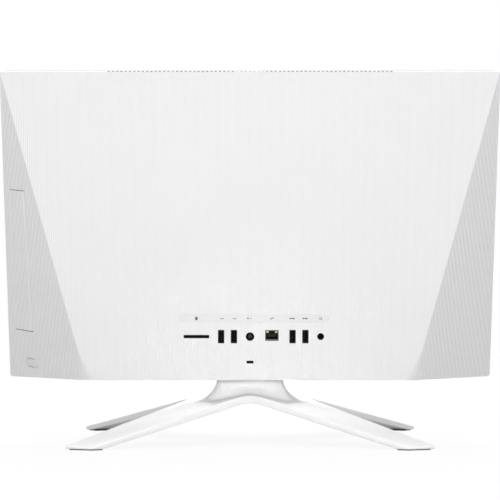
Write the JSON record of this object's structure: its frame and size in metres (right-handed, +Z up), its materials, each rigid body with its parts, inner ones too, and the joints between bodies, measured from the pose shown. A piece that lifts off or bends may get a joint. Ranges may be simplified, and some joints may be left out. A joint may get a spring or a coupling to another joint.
{
  "type": "all in one pc",
  "caption": "All-in-one computer with a wedge-shaped ribbed back, rear ports, side disc drive and pop-up camera, tilting on a low four-legged stand.",
  "frame": {"origin": "on the table, under the middle of the computer's box", "axes": "+Z up, the screen faces -Y and the ports face +Y, +X is to the right of someone who looks at the screen"},
  "size_m": [0.49, 0.182, 0.3709],
  "materials": {
    "cover_white": "satin moulded plastic with fine vertical ribs",
    "stand_white": "smooth satin white paint",
    "trim_white": "smooth satin",
    "bezel_black": "glossy black",
    "screen_black": "switched-off display",
    "port_black": "matte black",
    "steel": "plain sheet",
    "bright_steel": "bright plated",
    "copper": "bare copper",
    "circuit": "solder mask",
    "rubber": "matte"
  },
  "bodies": {
    "stand": {"stand_base": "stand_white", "stand_bracket": "steel", "stand_screw_1": "bright_steel", "stand_screw_2": "bright_steel", "foot_pad_front_left": "rubber", "foot_pad_front_right": "rubber", "foot_pad_back_left": "rubber", "foot_pad_back_right": "rubber"},
    "head": {"rear_cover": "cover_white", "label_band": "trim_white", "lock_plate": "steel", "card_reader": "port_black", "usb_port_1": "port_black", "usb_port_2": "port_black", "usb_port_3": "steel", "usb_port_4": "steel", "dc_jack": "port_black", "dc_pin": "steel", "ethernet_jack": "steel", "audio_jack": "port_black", "motherboard": "circuit", "memory_module_1": "circuit", "memory_module_2": "circuit", "wireless_card": "circuit", "cold_plate": "copper", "heat_pipe": "copper", "fin_stack": "bright_steel", "blower_housing": "port_black", "optical_case": "bright_steel", "power_switch": "port_black", "camera_guide": "port_black", "front_bezel": "bezel_black", "chin_cover": "cover_white", "speaker_grille": "port_black", "display_panel": "screen_black", "backlight_unit": "port_black", "left_speaker": "port_black", "right_speaker": "port_black", "chassis_plate": "steel", "storage_drive": "bright_steel", "drive_caddy": "steel", "head_bracket": "steel", "hinge_shaft": "bright_steel", "friction_washer_left": "steel", "friction_washer_right": "steel", "hinge_nut_left": "bright_steel", "hinge_nut_right": "bright_steel"},
    "camera": {"camera_module": "trim_white", "camera_lens": "screen_black"},
    "disc_tray": {"optical_tray": "port_black", "optical_bezel": "cover_white"},
    "spindle": {"disc_spindle": "port_black"},
    "button": {"power_button": "cover_white"},
    "blower_wheel": {"blower_rotor": "port_black"}
  },
  "joints": [
    {"name": "screen_tilt", "type": "hinge", "parent": "stand", "child": "head", "pos_m": [0, 0.026, 0.088], "axis": [-1, 0, 0], "range_deg": [-16.5, 13.5]},
    {"name": "camera_rise", "type": "slide", "parent": "head", "child": "camera", "axis": [0, 0.1994, 0.9799], "range_m": [0, 0.02]},
    {"name": "tray_slide", "type": "slide", "parent": "head", "child": "disc_tray", "axis": [1, 0, 0], "range_m": [0, 0.13]},
    {"name": "spindle_spin", "type": "hinge", "parent": "disc_tray", "child": "spindle", "pos_m": [0.1565, 0.03581, 0.18285], "axis": [0, 0.9799, -0.1994], "continuous": true},
    {"name": "power_press", "type": "slide", "parent": "head", "child": "button", "axis": [-0.5417, -0.8237, 0.1676], "range_m": [0, 0.001], "stiffness_N_per_m": 900, "springref_m": -0.001},
    {"name": "blower_spin", "type": "hinge", "parent": "head", "child": "blower_wheel", "pos_m": [-0.047, 0.05478, 0.2572], "axis": [0, 0.9998, -0.0218], "continuous": true}
  ]
}
